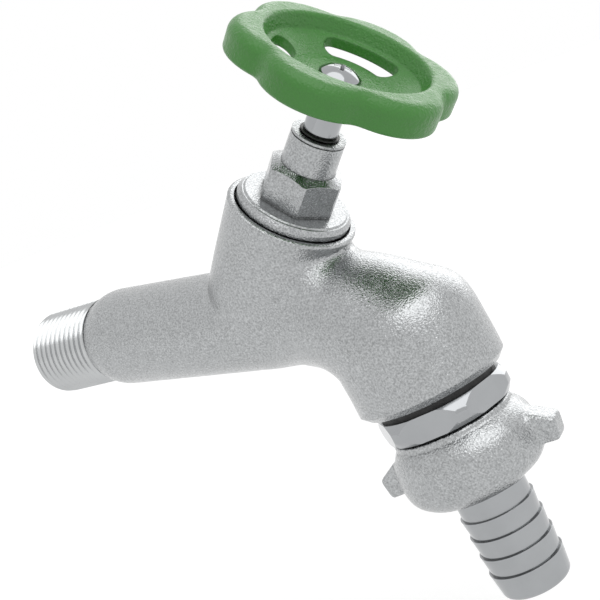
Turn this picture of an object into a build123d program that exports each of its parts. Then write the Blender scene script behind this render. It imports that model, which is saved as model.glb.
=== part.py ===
"""Garden water tap: inclined stem valve, lobed handwheel, wing nut hose union. Millimetres.

The inlet thread's end face is centred on the origin and the thread runs along +X.
The tap is mirrored about the XZ plane, and +Z is up with the inlet level.
"""
import os
from math import cos, radians, sin

from build123d import *

os.makedirs("parts", exist_ok=True)

# Clearances
slide_gap = 0.05
turn_gap = 0.06
face_gap = 0.05
recess_gap = 0.25
groove_slack = 0.2
screw_end_gap = 0.5

# How far a cut reaches past what it cuts
cut_over = 1.0

# Inlet thread and tube
inlet_thread_d = 20.955
inlet_thread_length = 20.8
inlet_thread_chamfer = 1.3
inlet_bore_d = 14.0
tube_droop = 5.3
tube_d = 23.74
shoulder_length = 3.6
shoulder_lead = 1.6
tube_bend_x = inlet_thread_length + shoulder_lead

# Axes of the stem and of the outlet, where they leave the inlet axis
stem_x = 69.2
stem_angle = 44.6
outlet_x = 99.0
outlet_angle = 81.0

# Boss for the headwork, along the stem axis
boss_height = 23.7
boss_top_d = 28.35
boss_foot_d = 24.9
boss_root_d = 15.0
boss_root_depth = 11.0
boss_rim_fillet = 0.7

# Elbow and spout
tube_run = 46.0
elbow_ribs = (
    (83.9, -5.4, 25.7, 28.3),
    (94.4, -9.2, 29.9, 57.0),
    (100.5, -13.7, 33.0, 65.2),
)
spout_mouth = 27.6
spout_d = 33.1
spout_chamfer = 1.3
spout_straight = 7.8

# Waterway
seat_bore_d = 11.0
seat_rim_d = 14.4
seat_rim_height = 2.0
ante_bore_d = 13.0
ante_floor = -15.0
ante_roof = -4.0
chamber_d = 19.2
inlet_bore_run = 33.5
passage_d = 15.0
passage_start_x = 75.5
passage_start_z = -4.9
passage_end = 12.0
outlet_bore_d = 17.2

# Headwork housing (bonnet), up and down from its flange, whose seat is sunk in the boss
flange_sink = 0.7
flange_bottom = boss_height - flange_sink
bonnet_thread_d = 20.7
bonnet_reach = 9.5
bonnet_bottom = flange_bottom - bonnet_reach
bonnet_thread_length = 8.7
bonnet_thread_relief = 0.5
thread_lead = 0.6
chamber_headroom = 1.0
chamber_roof = bonnet_bottom - chamber_headroom
flange_d = 24.9
flange_wall = 2.3
flange_edge = flange_bottom + flange_wall
flange_height = 3.2
flange_top = flange_bottom + flange_height
flange_slope = 0.7
flange_top_d = flange_d - 2 * flange_slope
flange_bevel = 0.4
flange_ledge = 0.35
flange_step_d = flange_top_d - 2 * flange_ledge
flange_step = 0.35
flange_step_bevel = 0.3
bonnet_hex_af = 15.0
bonnet_hex_height = 8.1
bonnet_hex_top = flange_top + bonnet_hex_height
bonnet_hex_corner_d = 16.9
bonnet_hex_chamfer = 1.2
bonnet_hex_ledge = 0.2
neck_foot_d = 11.7
neck_top_d = 11.5
neck_height = 7.4
neck_top = bonnet_hex_top + neck_height
neck_groove = 0.25
neck_groove_drop = 0.55
gasket_thickness = 0.8

# Valve carrier, washer and seat screw, with the valve shut
valve_lift = 5.0
washer_d = 14.4
washer_thickness = 3.0
cup_wall = 0.65
cup_d = washer_d + 2 * (slide_gap + cup_wall)
cup_plate = 2.0
cup_lip = 1.8
cup_bevel = 0.6
carrier_d = 12.0
carrier_flats = 10.4
guide_flats_drop = 1.0
guide_flats_bottom = flange_bottom - guide_flats_drop
guide_flats_length = 8.0
guide_flats_top = guide_flats_bottom + guide_flats_length
carrier_end_gap = 0.6
carrier_top = guide_flats_top - valve_lift - carrier_end_gap
carrier_ring_reach = 2.3
carrier_ring_height = bonnet_bottom + carrier_ring_reach
carrier_ring_cord = 1.5
ring_squeeze_gap = 0.02
seat_screw_d = 4.0
seat_screw_length = 8.0
seat_screw_head_af = 6.5
seat_screw_head = 1.8

# Spindle, whose collar comes in through the flats of the guide
spindle_d = 7.3
spindle_thread_d = 7.8
spindle_reach = 5.8
spindle_thread_bottom = flange_bottom - spindle_reach
spindle_end_clearance = 5.2
collar_d = carrier_flats
collar_rise = 1.0
collar_bottom = guide_flats_top + collar_rise
collar_thickness = 1.8
collar_top = collar_bottom + collar_thickness
thrust_washer_thickness = 0.5
spindle_ring_drops = (5.3, 2.9)
spindle_ring_heights = [neck_top - drop for drop in spindle_ring_drops]
spindle_ring_cord = 1.2
clip_thickness = 0.7
clip_d = 9.8
clip_groove_d = 6.2
clip_gap_width = 3.0
drive_square = 5.2
drive_rise = 6.3
drive_bottom = neck_top + drive_rise

# Handwheel and its screw, up from the drive's shoulder
dish_rise = 6.4
dish_floor = drive_bottom + dish_rise
drive_end_gap = 0.4
drive_top = dish_floor - drive_end_gap
wheel_drop = 0.8
wheel_bottom = dish_floor - wheel_drop
wheel_depth = 5.55
wheel_top = dish_floor + wheel_depth
lobe_count = 6
lobe_radius = 12.1
lobe_centre = 11.45
lobe_valley_fillet = 3.6
lobe_turn = 39.5
rim_wall = 2.5
rim_thickness = 2.05
rim_roof = wheel_top - rim_thickness
rim_fillet = 2.55
skirt_fillet = 0.8
dish_flat_d = 19.4
dish_edge_d = 31.6
dish_edge_rise = 2.6
dish_edge = dish_floor + dish_edge_rise
dish_mouth_d = 34.4
dish_rim_fillet = 1.0
dish_wall = 1.0
floor_thickness = 1.8
hub_d = 12.0
slot_count = 3
slot_arc = 55.0
slot_radius = 12.35
slot_width = 4.9
slot_turn = 100.0
wheel_screw_d = 4.0
wheel_screw_length = 9.0
wheel_screw_head_d = 8.7
wheel_screw_head = 2.0
wheel_screw_edge = 0.3

# Outlet nipple and its seal, along the outlet axis
nipple_thread_d = 20.955
nipple_thread_length = 11.0
nipple_end_gap = 0.6
nipple_lead = 0.8
nipple_seal_d = 26.0
nipple_seal_thickness = 1.6
nipple_hex_af = 27.0
nipple_hex_d = 29.8
nipple_hex_turn = 47.0
nipple_hex_height = 5.2
nipple_hex_chamfer = 1.1
nipple_hex_chamfer_height = 1.7
nipple_neck_d = 22.0
nipple_neck_height = 0.5
union_thread_d = 22.911
union_thread_length = 9.3
union_thread_lead = 1.0
nipple_bore_d = 14.0

# Wing nut, with heights from its top face
nut_rim_d = 26.4
nut_rim_height = 1.5
nut_rim_bevel = 0.3
nut_rim_groove = 0.3
nut_bulb_start_d = 27.0
nut_bulb = ((15.3, 3.95), (15.95, 7.65), (15.75, 10.95), (14.9, 13.05), (12.9, 14.85))
nut_foot_d = 17.6
nut_foot_bevel = 0.6
nut_height = 16.15
nut_relief_d = 23.6
wing_turn = 6.2
wing_reach = 20.7
wing_root = 11.0
wing_top_root = 1.65
wing_top_tip = 7.05
wing_end_height = 4.6
wing_end_lean = 0.8
wing_bottom_root = 11.05
wing_root_thickness = 6.8
wing_tip_thickness = 5.6
wing_round = 0.8

# Hose tail and union washer
union_washer_thickness = 2.0
tail_flange_d = 20.3
tail_flange_thickness = 2.7
tail_d = 16.0
tail_bore_d = 11.6
barb_count = 4
barb_d = 16.7
barb_root_d = 15.7
barb_drop = 4.4
barb_pitch = 4.3
tail_end_length = 5.8
tail_end_d = 15.2
tail_end_round = 1.2
tail_mouth_chamfer = 0.8


def direction(angle):
    """Unit vector in the XZ plane, raised above +X by an angle in degrees."""
    return Vector(cos(radians(angle)), 0, sin(radians(angle)))


stem = direction(stem_angle)
stem_front = direction(stem_angle - 90)
outlet = direction(-outlet_angle)
outlet_front = direction(90 - outlet_angle)
tube = direction(-tube_droop)
stem_point = Vector(stem_x, 0, 0)
outlet_point = Vector(outlet_x, 0, 0)
tube_point = Vector(tube_bend_x, 0, 0)
side = Vector(0, 1, 0)

stem_axis = Axis(stem_point, stem)
outlet_axis = Axis(outlet_point, outlet)
inlet_axis = Axis((0, 0, 0), (1, 0, 0))
tube_axis = Axis(tube_point, tube)

# Planes across an axis carry its cross sections, and planes along it carry its turned outlines
stem_plane = Plane(stem_point, x_dir=stem_front, z_dir=stem)
outlet_plane = Plane(outlet_point, x_dir=outlet_front, z_dir=outlet)
tube_plane = Plane(tube_point, x_dir=direction(90 - tube_droop), z_dir=tube)
stem_outline = Plane(stem_point, x_dir=stem_front, z_dir=-side)
outlet_outline = Plane(outlet_point, x_dir=outlet_front, z_dir=side)
inlet_outline = Plane((0, 0, 0), x_dir=(0, 0, 1), z_dir=side)
tube_outline = Plane(tube_point, x_dir=direction(90 - tube_droop), z_dir=side)


def turn(plane, axis, *points, mode=Mode.ADD):
    """Turn a closed outline of (radius, height) points about an axis."""
    with BuildSketch(plane) as outline:
        with BuildLine():
            Polyline(*points, close=True)
        make_face()
    revolve(outline.sketch, axis=axis, mode=mode)


def turn_stem(*points, mode=Mode.ADD):
    """Turn an outline about the stem axis."""
    turn(stem_outline, stem_axis, *points, mode=mode)


def turn_outlet(*points, mode=Mode.ADD):
    """Turn an outline about the outlet axis."""
    turn(outlet_outline, outlet_axis, *points, mode=mode)


def ring_outline(inner_d, outer_d, bottom, top):
    """Outline of a plain ring or, with no inner diameter, of a disc."""
    inner = inner_d / 2
    outer = outer_d / 2
    return (inner, bottom), (outer, bottom), (outer, top), (inner, top)


def turn_cord(plane, axis, radius, height, cord_d):
    """Turn the round section of a rubber ring about an axis."""
    with BuildSketch(plane) as section:
        with Locations((radius, height)):
            Circle(cord_d / 2)
    revolve(section.sketch, axis=axis)


def finish(builder, name):
    """Label a finished piece and write it."""
    builder.part.label = name
    export_step(builder.part, f"parts/{name}.step")


# Body: one forging with its waterway
passage_entry = Vector(passage_start_x, 0, passage_start_z)
passage_exit = outlet_point + outlet * passage_end
passage = (passage_exit - passage_entry).normalized()
passage_length = (passage_exit - passage_entry).length
passage_axis = Axis(passage_entry, passage)
passage_outline = Plane(passage_entry, x_dir=passage.cross(side), z_dir=side)
straight_start = outlet_point + outlet * (spout_mouth - spout_straight)

with BuildPart() as body:
    turn(
        inlet_outline,
        inlet_axis,
        (0, 0),
        (inlet_thread_d / 2 - inlet_thread_chamfer, 0),
        (inlet_thread_d / 2, inlet_thread_chamfer),
        (inlet_thread_d / 2, inlet_thread_length),
        (0, inlet_thread_length),
    )
    turn(
        tube_outline,
        tube_axis,
        (0, -shoulder_lead),
        (inlet_thread_d / 2 - slide_gap, -shoulder_lead),
        (tube_d / 2, shoulder_length - shoulder_lead),
        (tube_d / 2, tube_run),
        (0, tube_run),
    )
    elbow_planes = [tube_plane.offset(tube_run)]
    elbow_diameters = [tube_d]
    for rib_x, rib_z, rib_d, rib_angle in elbow_ribs:
        rib_front = direction(90 - rib_angle)
        elbow_planes.append(Plane((rib_x, 0, rib_z), x_dir=rib_front, z_dir=direction(-rib_angle)))
        elbow_diameters.append(rib_d)
    elbow_planes.append(Plane(straight_start, x_dir=outlet_front, z_dir=outlet))
    elbow_diameters.append(spout_d)
    for rib_plane, rib_diameter in zip(elbow_planes, elbow_diameters):
        with BuildSketch(rib_plane):
            Circle(rib_diameter / 2)
    loft()
    turn_outlet(*ring_outline(0, spout_d, spout_mouth - spout_straight, spout_mouth))
    turn_stem(
        (0, -boss_root_depth),
        (boss_root_d / 2, -boss_root_depth),
        (boss_foot_d / 2, 0),
        (boss_top_d / 2, boss_height),
        (0, boss_height),
    )
    fillet(body.edges().filter_by(GeomType.CIRCLE).sort_by(stem_axis)[-1], boss_rim_fillet)
    chamfer(body.edges().filter_by(GeomType.CIRCLE).sort_by(outlet_axis)[-1], spout_chamfer)
    # Inlet bore, bent with the tube and rounded where it ends under the seat
    turn(inlet_outline, inlet_axis, *ring_outline(0, inlet_bore_d, 0, tube_bend_x), mode=Mode.SUBTRACT)
    turn(tube_outline, tube_axis, *ring_outline(0, inlet_bore_d, 0, inlet_bore_run), mode=Mode.SUBTRACT)
    with Locations(tube_point, tube_point + tube * inlet_bore_run):
        Sphere(inlet_bore_d / 2, mode=Mode.SUBTRACT)
    # Antechamber, seat with its raised rim, chamber and bonnet thread
    turn_stem(*ring_outline(0, ante_bore_d, ante_floor, ante_roof), mode=Mode.SUBTRACT)
    turn_stem(*ring_outline(0, seat_bore_d, ante_roof, 0), mode=Mode.SUBTRACT)
    turn_stem(
        (0, 0),
        (seat_rim_d / 2, 0),
        (seat_rim_d / 2, -seat_rim_height),
        (chamber_d / 2, -seat_rim_height),
        (chamber_d / 2, chamber_roof),
        (bonnet_thread_d / 2 + slide_gap, chamber_roof),
        (bonnet_thread_d / 2 + slide_gap, flange_bottom - gasket_thickness),
        (flange_d / 2 + recess_gap, flange_bottom - gasket_thickness),
        (flange_d / 2 + recess_gap, boss_height),
        (0, boss_height),
        mode=Mode.SUBTRACT,
    )
    # Passage from the chamber to the outlet bore, and the nipple thread
    turn(passage_outline, passage_axis, *ring_outline(0, passage_d, 0, passage_length), mode=Mode.SUBTRACT)
    with Locations(passage_exit):
        Sphere(outlet_bore_d / 2, mode=Mode.SUBTRACT)
    turn_outlet(*ring_outline(0, outlet_bore_d, passage_end, spout_mouth), mode=Mode.SUBTRACT)
    turn_outlet(
        *ring_outline(0, nipple_thread_d + 2 * slide_gap, spout_mouth - nipple_thread_length, spout_mouth),
        mode=Mode.SUBTRACT,
    )

finish(body, "body")

# Headwork housing with its hexagon, neck and the keyed guide for the valve carrier
with BuildPart() as bonnet:
    with BuildSketch(stem_plane.offset(flange_top)):
        RegularPolygon(bonnet_hex_af / 2, 6, major_radius=False)
    extrude(amount=bonnet_hex_top - flange_top)
    turn_stem(
        (0, flange_top),
        (bonnet_hex_corner_d / 2, flange_top),
        (bonnet_hex_corner_d / 2, bonnet_hex_top - bonnet_hex_chamfer),
        (neck_foot_d / 2 + bonnet_hex_ledge, bonnet_hex_top),
        (0, bonnet_hex_top),
        mode=Mode.INTERSECT,
    )
    turn_stem(
        (0, bonnet_bottom),
        (bonnet_thread_d / 2 - thread_lead, bonnet_bottom),
        (bonnet_thread_d / 2, bonnet_bottom + thread_lead),
        (bonnet_thread_d / 2, bonnet_bottom + bonnet_thread_length),
        (bonnet_thread_d / 2 - bonnet_thread_relief, flange_bottom),
        (flange_d / 2, flange_bottom),
        (flange_d / 2, flange_edge - flange_bevel),
        (flange_top_d / 2, flange_top - flange_step),
        (flange_step_d / 2, flange_top - flange_step),
        (flange_step_d / 2 - flange_step_bevel, flange_top),
        (0, flange_top),
    )
    turn_stem(
        (0, flange_top),
        (neck_foot_d / 2, flange_top),
        (neck_foot_d / 2, bonnet_hex_top),
        (neck_top_d / 2, neck_top - neck_groove_drop - neck_groove),
        (neck_top_d / 2 - neck_groove, neck_top - neck_groove_drop - neck_groove),
        (neck_top_d / 2 - neck_groove, neck_top - neck_groove_drop),
        (neck_top_d / 2, neck_top - neck_groove_drop),
        (neck_top_d / 2, neck_top),
        (0, neck_top),
    )
    turn_stem(
        (0, bonnet_bottom),
        (carrier_d / 2 + slide_gap, bonnet_bottom),
        (carrier_d / 2 + slide_gap, guide_flats_bottom),
        (0, guide_flats_bottom),
        mode=Mode.SUBTRACT,
    )
    with BuildSketch(stem_plane.offset(guide_flats_bottom)):
        Circle(carrier_d / 2 + slide_gap)
        Rectangle(carrier_d + cut_over, carrier_flats + 2 * slide_gap, mode=Mode.INTERSECT)
    extrude(amount=guide_flats_top - guide_flats_bottom, mode=Mode.SUBTRACT)
    turn_stem(
        (0, guide_flats_top),
        (collar_d / 2 + turn_gap, guide_flats_top),
        (collar_d / 2 + turn_gap, collar_top + thrust_washer_thickness + face_gap),
        (spindle_d / 2 + turn_gap, collar_top + thrust_washer_thickness + face_gap),
        (spindle_d / 2 + turn_gap, neck_top),
        (0, neck_top),
        mode=Mode.SUBTRACT,
    )

finish(bonnet, "bonnet")

with BuildPart() as bonnet_gasket:
    gasket_bottom = flange_bottom - gasket_thickness
    turn_stem(*ring_outline(bonnet_thread_d + 2 * recess_gap, flange_d, gasket_bottom, flange_bottom))

finish(bonnet_gasket, "bonnet_gasket")

# Valve carrier: a cup for the washer on a stem that slides in the keyed guide without turning
cup_top = washer_thickness + cup_plate
carrier_bore_bottom = spindle_thread_bottom - spindle_end_clearance
carrier_flats_bottom = guide_flats_bottom - valve_lift - 2 * face_gap
carrier_groove_half = (carrier_ring_cord + groove_slack) / 2

with BuildPart() as valve_carrier:
    with BuildSketch(stem_plane.offset(cup_top)):
        Circle(carrier_d / 2)
    extrude(amount=carrier_flats_bottom - cup_top)
    with BuildSketch(stem_plane.offset(carrier_flats_bottom)):
        Circle(carrier_d / 2)
        Rectangle(carrier_d + cut_over, carrier_flats, mode=Mode.INTERSECT)
    extrude(amount=carrier_top - carrier_flats_bottom)
    turn_stem(
        (0, washer_thickness),
        (washer_d / 2 + slide_gap, washer_thickness),
        (washer_d / 2 + slide_gap, washer_thickness - cup_lip),
        (cup_d / 2, washer_thickness - cup_lip),
        (cup_d / 2, cup_top - cup_bevel),
        (cup_d / 2 - cup_bevel, cup_top),
        (0, cup_top),
    )
    turn_stem(
        *ring_outline(
            carrier_d - 2 * (carrier_ring_cord - groove_slack),
            carrier_d + cut_over,
            carrier_ring_height - carrier_groove_half,
            carrier_ring_height + carrier_groove_half,
        ),
        mode=Mode.SUBTRACT,
    )
    carrier_bore_d = spindle_thread_d + 2 * slide_gap
    turn_stem(*ring_outline(0, carrier_bore_d, carrier_bore_bottom, carrier_top), mode=Mode.SUBTRACT)
    turn_stem(*ring_outline(0, seat_screw_d + 2 * slide_gap, 0, seat_screw_length), mode=Mode.SUBTRACT)

finish(valve_carrier, "valve_carrier")

with BuildPart() as carrier_o_ring:
    carrier_ring_fit = carrier_ring_cord - groove_slack + slide_gap - 2 * ring_squeeze_gap
    turn_cord(
        stem_outline,
        stem_axis,
        carrier_d / 2 + slide_gap - ring_squeeze_gap - carrier_ring_fit / 2,
        carrier_ring_height,
        carrier_ring_fit,
    )

finish(carrier_o_ring, "carrier_o_ring")

with BuildPart() as seat_washer:
    turn_stem(*ring_outline(seat_screw_d + 2 * slide_gap, washer_d, 0, washer_thickness))

finish(seat_washer, "seat_washer")

with BuildPart() as seat_screw:
    with BuildSketch(stem_plane.offset(-seat_screw_head)):
        RegularPolygon(seat_screw_head_af / 2, 6, major_radius=False)
    extrude(amount=seat_screw_head)
    turn_stem(*ring_outline(0, seat_screw_d, 0, seat_screw_length - screw_end_gap))

finish(seat_screw, "seat_screw")

# Spindle: thread, collar, two ring grooves, clip groove and the square that drives the wheel
spindle_groove_half = (spindle_ring_cord + groove_slack) / 2
clip_groove_top = neck_top + clip_thickness + 3 * face_gap
wheel_screw_end = dish_floor - wheel_screw_length

with BuildPart() as spindle:
    turn_stem(
        (0, spindle_thread_bottom),
        (spindle_thread_d / 2 - thread_lead, spindle_thread_bottom),
        (spindle_thread_d / 2, spindle_thread_bottom + thread_lead),
        (spindle_thread_d / 2, collar_bottom),
        (collar_d / 2, collar_bottom),
        (collar_d / 2, collar_top),
        (spindle_d / 2, collar_top),
        (spindle_d / 2, drive_bottom),
        (0, drive_bottom),
    )
    with BuildSketch(stem_plane.offset(drive_bottom)):
        Rectangle(drive_square, drive_square)
        Circle(spindle_d / 2, mode=Mode.INTERSECT)
    extrude(amount=drive_top - drive_bottom)
    for ring_height in spindle_ring_heights:
        turn_stem(
            *ring_outline(
                spindle_d - 2 * (spindle_ring_cord - groove_slack),
                spindle_d + cut_over,
                ring_height - spindle_groove_half,
                ring_height + spindle_groove_half,
            ),
            mode=Mode.SUBTRACT,
        )
    turn_stem(
        *ring_outline(clip_groove_d, spindle_d + cut_over, neck_top + face_gap, clip_groove_top),
        mode=Mode.SUBTRACT,
    )
    turn_stem(
        *ring_outline(0, wheel_screw_d + 2 * slide_gap, wheel_screw_end - screw_end_gap, drive_top),
        mode=Mode.SUBTRACT,
    )

finish(spindle, "spindle")

with BuildPart() as spindle_o_rings:
    spindle_ring_fit = spindle_ring_cord - groove_slack + turn_gap - 2 * ring_squeeze_gap
    for ring_height in spindle_ring_heights:
        turn_cord(
            stem_outline,
            stem_axis,
            spindle_d / 2 + turn_gap - ring_squeeze_gap - spindle_ring_fit / 2,
            ring_height,
            spindle_ring_fit,
        )

finish(spindle_o_rings, "spindle_o_rings")

with BuildPart() as thrust_washer:
    thrust_washer_top = collar_top + thrust_washer_thickness
    turn_stem(*ring_outline(spindle_d + 2 * turn_gap, collar_d, collar_top, thrust_washer_top))

finish(thrust_washer, "thrust_washer")

# Open spring clip that keeps the spindle from dropping into the bonnet
with BuildPart() as spindle_clip:
    clip_bottom = neck_top + 2 * face_gap
    turn_stem(*ring_outline(clip_groove_d + 2 * slide_gap, clip_d, clip_bottom, clip_bottom + clip_thickness))
    with BuildSketch(stem_plane.offset(clip_bottom)):
        with Locations((clip_d / 2, 0)):
            Rectangle(clip_d - clip_groove_d + cut_over, clip_gap_width)
    extrude(amount=clip_thickness, mode=Mode.SUBTRACT)

finish(spindle_clip, "spindle_clip")

# Handwheel: a lobed rim with a hollow skirt round a dished floor with three curved slots
floor_bottom = dish_floor - floor_thickness

with BuildSketch() as lobes:
    with PolarLocations(lobe_centre, lobe_count, start_angle=lobe_turn):
        Circle(lobe_radius)
    fillet(lobes.vertices(), lobe_valley_fillet)

with BuildPart() as handwheel:
    with BuildSketch(stem_plane.offset(wheel_bottom)):
        add(lobes.sketch)
    extrude(amount=wheel_top - wheel_bottom)
    fillet(handwheel.faces().sort_by(stem_axis)[-1].edges(), rim_fillet)
    fillet(handwheel.faces().sort_by(stem_axis)[0].edges(), skirt_fillet)
    with BuildSketch(stem_plane.offset(wheel_bottom)):
        add(lobes.sketch)
        offset(amount=-rim_wall, mode=Mode.REPLACE)
    extrude(amount=rim_roof - wheel_bottom, mode=Mode.SUBTRACT)
    turn_stem(
        (0, drive_bottom + face_gap),
        (hub_d / 2, drive_bottom + face_gap),
        (hub_d / 2, floor_bottom),
        (dish_flat_d / 2, floor_bottom),
        (dish_edge_d / 2 + dish_wall, dish_edge - floor_thickness),
        (dish_mouth_d / 2 + dish_wall, rim_roof),
        (0, rim_roof),
    )
    turn_stem(
        (0, dish_floor),
        (dish_flat_d / 2, dish_floor),
        (dish_edge_d / 2, dish_edge),
        (dish_mouth_d / 2, wheel_top),
        (0, wheel_top),
        mode=Mode.SUBTRACT,
    )
    top_edges = handwheel.edges().filter_by(GeomType.CIRCLE).group_by(stem_axis)[-1]
    fillet(top_edges.sort_by(SortBy.LENGTH)[-1], dish_rim_fillet)
    with BuildSketch(stem_plane.offset(floor_bottom - cut_over)):
        with BuildLine(mode=Mode.PRIVATE) as slot_line:
            CenterArc((0, 0), slot_radius, slot_turn - slot_arc / 2, slot_arc)
        with PolarLocations(0, slot_count):
            SlotArc(slot_line.edge(), slot_width)
    extrude(amount=dish_edge - floor_bottom + 2 * cut_over, mode=Mode.SUBTRACT)
    with BuildSketch(stem_plane.offset(drive_bottom)):
        Rectangle(drive_square + 2 * slide_gap, drive_square + 2 * slide_gap)
        Circle(spindle_d / 2 + slide_gap, mode=Mode.INTERSECT)
    extrude(amount=dish_floor - drive_bottom, mode=Mode.SUBTRACT)

finish(handwheel, "handwheel")

with BuildPart() as wheel_screw:
    turn_stem(*ring_outline(0, wheel_screw_d, wheel_screw_end, dish_floor))
    with BuildSketch(stem_outline) as dome:
        with BuildLine():
            dome_edge = (wheel_screw_head_d / 2, dish_floor + wheel_screw_edge)
            dome_top = (0, dish_floor + wheel_screw_head)
            Polyline(dome_top, (0, dish_floor), (wheel_screw_head_d / 2, dish_floor), dome_edge)
            TangentArc(dome_top, dome_edge, tangent=(1, 0))
        make_face()
    revolve(axis=stem_axis)

finish(wheel_screw, "wheel_screw")

# Seal and hexagon nipple under the spout
nipple_start = spout_mouth - nipple_thread_length + nipple_end_gap
seal_end = spout_mouth + nipple_seal_thickness
hex_end = seal_end + nipple_hex_height
neck_end = hex_end + nipple_neck_height
nipple_end = neck_end + union_thread_length

with BuildPart() as nipple_seal:
    turn_outlet(*ring_outline(nipple_thread_d + 2 * recess_gap, nipple_seal_d, spout_mouth, seal_end))

finish(nipple_seal, "nipple_seal")

with BuildPart() as outlet_nipple:
    with BuildSketch(outlet_plane.offset(seal_end)):
        RegularPolygon(nipple_hex_af / 2, 6, major_radius=False, rotation=nipple_hex_turn)
    extrude(amount=nipple_hex_height)
    turn_outlet(
        (0, seal_end),
        (nipple_hex_d / 2 - nipple_hex_chamfer, seal_end),
        (nipple_hex_d / 2, seal_end + nipple_hex_chamfer_height),
        (nipple_hex_d / 2, hex_end - nipple_hex_chamfer_height),
        (nipple_hex_d / 2 - nipple_hex_chamfer, hex_end),
        (0, hex_end),
        mode=Mode.INTERSECT,
    )
    turn_outlet(
        (0, nipple_start),
        (nipple_thread_d / 2 - nipple_lead, nipple_start),
        (nipple_thread_d / 2, nipple_start + nipple_lead),
        (nipple_thread_d / 2, seal_end),
        (0, seal_end),
    )
    turn_outlet(*ring_outline(0, nipple_neck_d, hex_end, neck_end))
    turn_outlet(
        (0, neck_end),
        (union_thread_d / 2, neck_end),
        (union_thread_d / 2, nipple_end - union_thread_lead),
        (union_thread_d / 2 - union_thread_lead, nipple_end),
        (0, nipple_end),
    )
    turn_outlet(*ring_outline(0, nipple_bore_d, nipple_start, nipple_end), mode=Mode.SUBTRACT)

finish(outlet_nipple, "outlet_nipple")

with BuildPart() as union_washer:
    washer_end = nipple_end + union_washer_thickness
    turn_outlet(*ring_outline(nipple_bore_d, tail_flange_d, nipple_end, washer_end))

finish(union_washer, "union_washer")

# Hose tail: flange, plain barrel, a run of sawtooth barbs and a plain end
flange_end = washer_end + tail_flange_thickness
nut_top = neck_end + face_gap
nut_end = nut_top + nut_height
barb_start = nut_end + barb_drop
tail_end = barb_start + barb_pitch * (barb_count - 1) + tail_end_length
barb_outline = []
for n in range(barb_count):
    barb_edge = barb_start + barb_pitch * n
    barb_outline += [(barb_root_d / 2, barb_edge), (barb_d / 2, barb_edge)]

with BuildPart() as hose_tail:
    turn_outlet(
        (tail_bore_d / 2, washer_end),
        (tail_flange_d / 2, washer_end),
        (tail_flange_d / 2, flange_end),
        (tail_d / 2, flange_end),
        *barb_outline,
        (tail_end_d / 2, tail_end),
        (tail_bore_d / 2, tail_end),
    )
    end_edges = hose_tail.faces().sort_by(outlet_axis)[-1].edges().sort_by(SortBy.RADIUS)
    fillet(end_edges[-1], tail_end_round)
    chamfer(hose_tail.faces().sort_by(outlet_axis)[-1].edges().sort_by(SortBy.RADIUS)[0], tail_mouth_chamfer)

finish(hose_tail, "hose_tail")

# One wing: its side view cut to its tapering plan
wing_plane = outlet_plane.rotated((0, 0, wing_turn))
wing_side = Plane(outlet_point, x_dir=wing_plane.x_dir, z_dir=-wing_plane.y_dir)
wing_top = nut_top + wing_top_root
wing_tip = nut_top + wing_top_tip
wing_bottom = nut_top + wing_bottom_root

with BuildPart() as wing:
    with BuildSketch(wing_side):
        with BuildLine():
            Polyline(
                (wing_root, wing_top),
                (wing_reach, wing_tip),
                (wing_reach - wing_end_lean, wing_tip + wing_end_height),
                (wing_root, wing_bottom),
                close=True,
            )
        make_face()
    extrude(amount=wing_root_thickness / 2, both=True)
    with BuildSketch(wing_plane.offset(wing_top - cut_over)):
        with BuildLine():
            Polyline(
                (wing_root, wing_root_thickness / 2),
                (wing_reach, wing_tip_thickness / 2),
                (wing_reach, -wing_tip_thickness / 2),
                (wing_root, -wing_root_thickness / 2),
                close=True,
            )
        make_face()
    extrude(amount=wing_bottom - wing_top + 2 * cut_over, mode=Mode.INTERSECT)
    root_face = wing.faces().sort_by(Axis(outlet_point, wing_plane.x_dir))[0]
    fillet([edge for edge in wing.edges() if edge not in root_face.edges()], wing_round)

# Wing nut: a turned bulb over the union thread, with two wings
with BuildPart() as wing_nut:
    with BuildSketch(outlet_outline):
        with BuildLine():
            rim_end = nut_top + nut_rim_height
            bulb_start = (nut_bulb_start_d / 2, rim_end)
            bulb_end = (nut_foot_d / 2, nut_end - nut_foot_bevel)
            Polyline(
                bulb_end,
                (nut_foot_d / 2 - nut_foot_bevel, nut_end),
                (0, nut_end),
                (0, nut_top),
                (nut_rim_d / 2 - nut_rim_bevel, nut_top),
                (nut_rim_d / 2, nut_top + nut_rim_bevel),
                (nut_rim_d / 2, rim_end - nut_rim_groove),
                (nut_rim_d / 2 - nut_rim_groove, rim_end - nut_rim_groove),
                (nut_rim_d / 2 - nut_rim_groove, rim_end),
                bulb_start,
            )
            bulb_points = [(radius, nut_top + height) for radius, height in nut_bulb]
            Spline(bulb_start, *bulb_points, bulb_end, tangents=((0.7, 0.7), (-1, 0.25)))
        make_face()
    revolve(axis=outlet_axis)
    add(wing.part)
    add(wing.part.rotate(outlet_axis, 180))
    turn_outlet(
        (0, nut_top),
        (union_thread_d / 2 + slide_gap, nut_top),
        (union_thread_d / 2 + slide_gap, nipple_end),
        (nut_relief_d / 2, nipple_end),
        (nut_relief_d / 2, flange_end + face_gap),
        (tail_d / 2 + turn_gap, flange_end + face_gap),
        (tail_d / 2 + turn_gap, nut_end),
        (0, nut_end),
        mode=Mode.SUBTRACT,
    )

finish(wing_nut, "wing_nut")
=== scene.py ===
"""Visual model of a garden water tap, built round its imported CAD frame. Metres."""
from math import atan2, cos, pi, radians, sin

import bmesh
import bpy
import numpy as np
from mathutils import Matrix, Vector
from mathutils.bvhtree import BVHTree


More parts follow.
